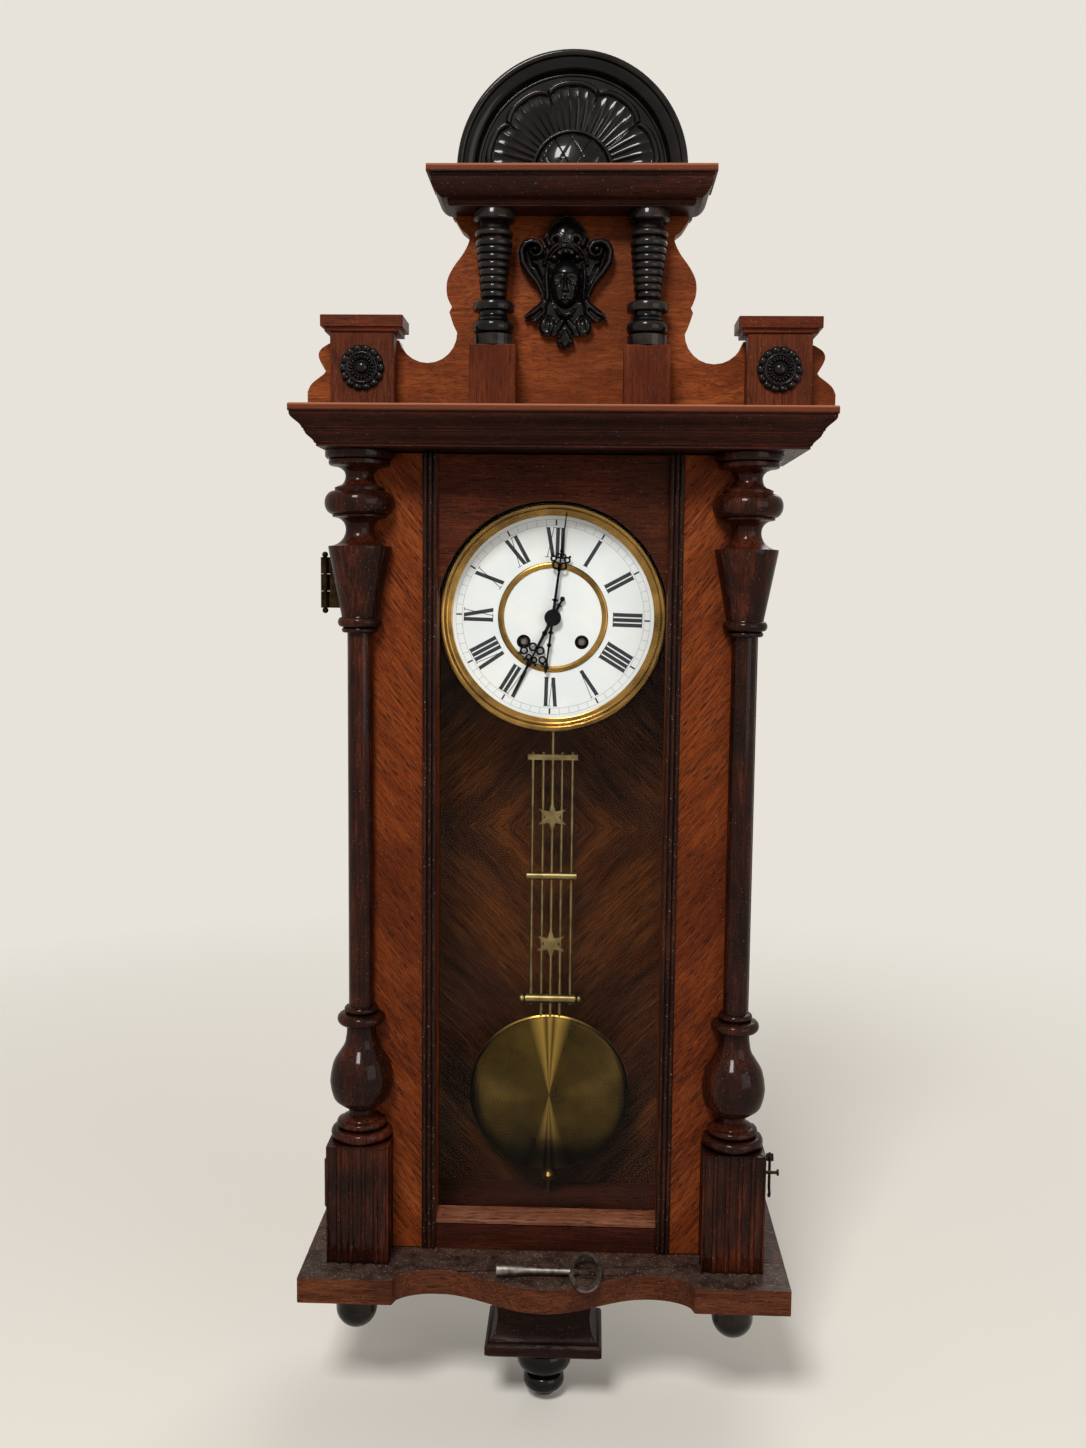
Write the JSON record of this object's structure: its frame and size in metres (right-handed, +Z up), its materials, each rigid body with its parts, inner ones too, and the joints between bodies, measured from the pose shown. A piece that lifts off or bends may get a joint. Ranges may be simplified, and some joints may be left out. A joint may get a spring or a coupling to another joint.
{
  "type": "regulator wall clock",
  "caption": "Spring-driven regulator wall clock with a carved crest, turned half columns, a glazed door, a round dial and a gridiron-style pendulum.",
  "frame": {"origin": "centre of the hanger's eye, on the wall", "axes": "+Z up, +X to the viewer's right, +Y into the wall, so the clock faces -Y"},
  "size_m": [0.4058, 0.1826, 1.0538],
  "materials": {
    "mahogany": "french polished",
    "dark_wood": "satin, stained dark",
    "ebonised_wood": "ebonised gloss",
    "figured_wood": "french polished, wavy grain",
    "stile_veneer": "french polished diagonal veneer",
    "back_veneer": "satin, matched diagonal veneer",
    "column_wood": "stained gloss",
    "brass": "aged, brushed",
    "steel": "satin",
    "dark_steel": "dull grey",
    "blued_steel": "blued to near black",
    "enamel": "fired white enamel, gloss",
    "glass": "clear"
  },
  "bodies": {
    "case": {"case_sides": "mahogany", "case_back": "back_veneer", "case_floor": "dark_wood", "case_top": "dark_wood", "cornice_board": "mahogany", "cornice_moulding": "mahogany", "base_shelf": "mahogany", "shelf_front": "figured_wood", "feet": "ebonised_wood", "pendant": "dark_wood", "finial": "ebonised_wood", "crest_board": "figured_wood", "crest_plinths": "mahogany", "crest_columns": "ebonised_wood", "pedestals": "mahogany", "pedestal_caps": "mahogany", "rosettes": "ebonised_wood", "crest_cornice": "mahogany", "fan_arch": "ebonised_wood", "mask_ornament": "ebonised_wood", "hanger": "dark_steel", "case_hinges": "brass", "hook_post": "brass", "front_plate": "brass", "back_plate": "brass", "seat_brackets": "dark_steel", "dial": "enamel", "bezel": "brass", "dial_ring": "brass", "suspension_cock": "brass", "gong": "dark_steel"},
    "door": {"door_stiles": "stile_veneer", "dial_surround": "mahogany", "bottom_rail": "mahogany", "reeded_strips": "ebonised_wood", "left_column": "column_wood", "right_column": "column_wood", "door_glass": "glass", "door_hinges": "brass", "hook_stud": "brass"},
    "hook": {"door_hook": "dark_steel"},
    "minute": {"minute_hand": "blued_steel", "centre_arbor": "steel"},
    "hour": {"hour_hand": "blued_steel"},
    "motion_wheel": {"minute_wheel": "brass"},
    "third": {"third_wheel": "brass"},
    "escape": {"escape_wheel": "brass"},
    "second": {"second_wheel": "brass"},
    "time_drum": {"time_barrel": "brass"},
    "time_winder": {"time_arbor": "steel"},
    "strike_drum": {"strike_barrel": "brass"},
    "strike_winder": {"strike_arbor": "steel"},
    "pin_wheel": {"strike_wheel": "brass"},
    "pallets": {"anchor": "steel"},
    "pendulum": {"pendulum_rods": "brass", "pendulum_bars": "brass", "bob": "brass"},
    "nut": {"rating_nut": "brass"},
    "hammer": {"hammer": "steel"},
    "key": {"key": "dark_steel"}
  },
  "joints": [
    {"name": "door_swing", "type": "hinge", "parent": "case", "child": "door", "pos_m": [-0.181, -0.1, -0.4], "axis": [0, 0, -1], "range_deg": [0, 110]},
    {"name": "hook_swing", "type": "hinge", "parent": "case", "child": "hook", "pos_m": [0.1852, -0.084, -0.624], "axis": [1, 0, 0], "range_deg": [0, 270]},
    {"name": "minute_turn", "type": "hinge", "parent": "case", "child": "minute", "pos_m": [0, -0.07, -0.178], "axis": [0, 1, 0], "continuous": true},
    {"name": "hour_turn", "type": "hinge", "parent": "case", "child": "hour", "pos_m": [0, -0.07, -0.178], "axis": [0, 1, 0], "continuous": true},
    {"name": "motion_wheel_turn", "type": "hinge", "parent": "case", "child": "motion_wheel", "pos_m": [-0.00771, -0.07, -0.16881], "axis": [0, 1, 0], "continuous": true},
    {"name": "third_turn", "type": "hinge", "parent": "case", "child": "third", "pos_m": [0.00299, -0.07, -0.16025], "axis": [0, 1, 0], "continuous": true},
    {"name": "escape_turn", "type": "hinge", "parent": "case", "child": "escape", "pos_m": [0, -0.07, -0.145], "axis": [0, 1, 0], "continuous": true},
    {"name": "second_turn", "type": "hinge", "parent": "case", "child": "second", "pos_m": [0.01696, -0.07, -0.1737], "axis": [0, 1, 0], "continuous": true},
    {"name": "time_drum_turn", "type": "hinge", "parent": "case", "child": "time_drum", "pos_m": [0.0232, -0.07, -0.1975], "axis": [0, 1, 0], "continuous": true},
    {"name": "time_wind", "type": "hinge", "parent": "case", "child": "time_winder", "pos_m": [0.0232, -0.07, -0.1975], "axis": [0, 1, 0], "continuous": true},
    {"name": "strike_drum_turn", "type": "hinge", "parent": "case", "child": "strike_drum", "pos_m": [-0.0232, -0.07, -0.1975], "axis": [0, 1, 0], "continuous": true},
    {"name": "strike_wind", "type": "hinge", "parent": "case", "child": "strike_winder", "pos_m": [-0.0232, -0.07, -0.1975], "axis": [0, 1, 0], "continuous": true},
    {"name": "pin_wheel_turn", "type": "hinge", "parent": "case", "child": "pin_wheel", "pos_m": [-0.01696, -0.07, -0.1737], "axis": [0, 1, 0], "continuous": true},
    {"name": "pendulum_swing", "type": "hinge", "parent": "case", "child": "pendulum", "pos_m": [0, -0.046, -0.125], "axis": [0, 1, 0], "range_deg": [-2.5, 2.5]},
    {"name": "pallet_rock", "type": "hinge", "parent": "case", "child": "pallets", "pos_m": [0, -0.065, -0.125], "axis": [0, 1, 0], "range_deg": [-2.5, 2.5]},
    {"name": "nut_turn", "type": "hinge", "parent": "pendulum", "child": "nut", "pos_m": [0, -0.046, -0.66], "axis": [0, 0, 1], "continuous": true},
    {"name": "hammer_lift", "type": "hinge", "parent": "case", "child": "hammer", "pos_m": [-0.038, -0.06, -0.144], "axis": [0, 1, 0], "range_deg": [-12, 10]},
    {"name": "key_lift", "type": "slide", "parent": "case", "child": "key", "axis": [0, 0, 1], "range_m": [0, 0.06]}
  ],
  "couplings": [
    {"joint": "hour_turn", "follows": "minute_turn", "ratio": 0.083333},
    {"joint": "motion_wheel_turn", "follows": "minute_turn", "ratio": -0.33333},
    {"joint": "third_turn", "follows": "minute_turn", "ratio": -8},
    {"joint": "escape_turn", "follows": "minute_turn", "ratio": 66},
    {"joint": "second_turn", "follows": "minute_turn", "ratio": -0.16667},
    {"joint": "time_drum_turn", "follows": "minute_turn", "ratio": 0.023148},
    {"joint": "pin_wheel_turn", "follows": "strike_drum_turn", "ratio": -7.2},
    {"joint": "pallet_rock", "follows": "pendulum_swing", "ratio": 1}
  ]
}
